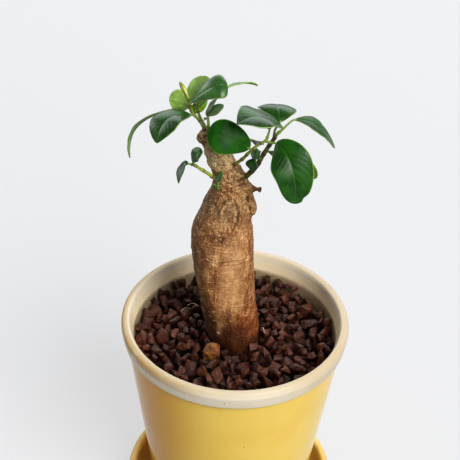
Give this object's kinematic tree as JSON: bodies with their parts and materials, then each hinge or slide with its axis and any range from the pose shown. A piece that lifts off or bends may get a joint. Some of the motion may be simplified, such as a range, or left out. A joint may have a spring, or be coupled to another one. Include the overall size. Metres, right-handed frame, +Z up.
{
  "type": "ginseng ficus in pot",
  "caption": "Small ficus with a swollen ginseng-like trunk and a crown of glossy leaves, in a glazed pot topped with lava gravel, on its saucer.",
  "frame": {"origin": "centre of the saucer's flat underside, on the pot's axis", "axes": "+Z up along the pot's axis; -Y the front, where the round leaf hides the top of the trunk; +X to the right seen from the front"},
  "size_m": [0.12, 0.12, 0.2771],
  "materials": {
    "pot_glaze": "glossy glaze, yellow body with a cream lip and inside",
    "saucer_glaze": "glossy pale yellow glaze",
    "potting_soil": "dark crumbly potting mix",
    "lava_gravel": "rough red-brown crushed lava",
    "ochre_stone": "rough ochre stone",
    "bark": "thin tan bark, mottled and finely cracked",
    "green_twig": "smooth green to brown twig",
    "bud": "smooth yellow-green bud sheath",
    "leaf": "waxy dark green upper side, paler matte underside",
    "young_leaf": "waxy light green"
  },
  "bodies": {
    "root": {"pot": "pot_glaze", "saucer": "saucer_glaze", "soil": "potting_soil", "gravel": "lava_gravel", "ochre_stone": "ochre_stone", "trunk": "bark", "twig_crown_left": "green_twig", "twig_crown_middle": "green_twig", "twig_right_upper": "green_twig", "twig_right_lower": "green_twig", "twig_left": "green_twig", "bud_crown_left": "bud", "shoot_crown_small": "young_leaf", "shoot_front": "young_leaf", "leaf_crown_far_left": "leaf", "leaf_crown_left": "leaf", "leaf_crown_back_left": "leaf", "leaf_crown_back": "leaf", "leaf_crown_top": "leaf", "leaf_crown_back_right": "leaf", "leaf_crown_back_low": "leaf", "leaf_front_round": "leaf", "leaf_right_spread": "leaf", "leaf_right_back": "leaf", "leaf_right_arching": "leaf", "leaf_right_hanging": "leaf", "leaf_right_olive": "leaf", "leaf_right_hidden": "leaf", "leaf_inner_back": "leaf", "leaf_inner_upper": "leaf", "leaf_inner_lower": "leaf", "leaf_left_upper": "leaf", "leaf_left_hanging": "leaf"}
  },
  "joints": []
}
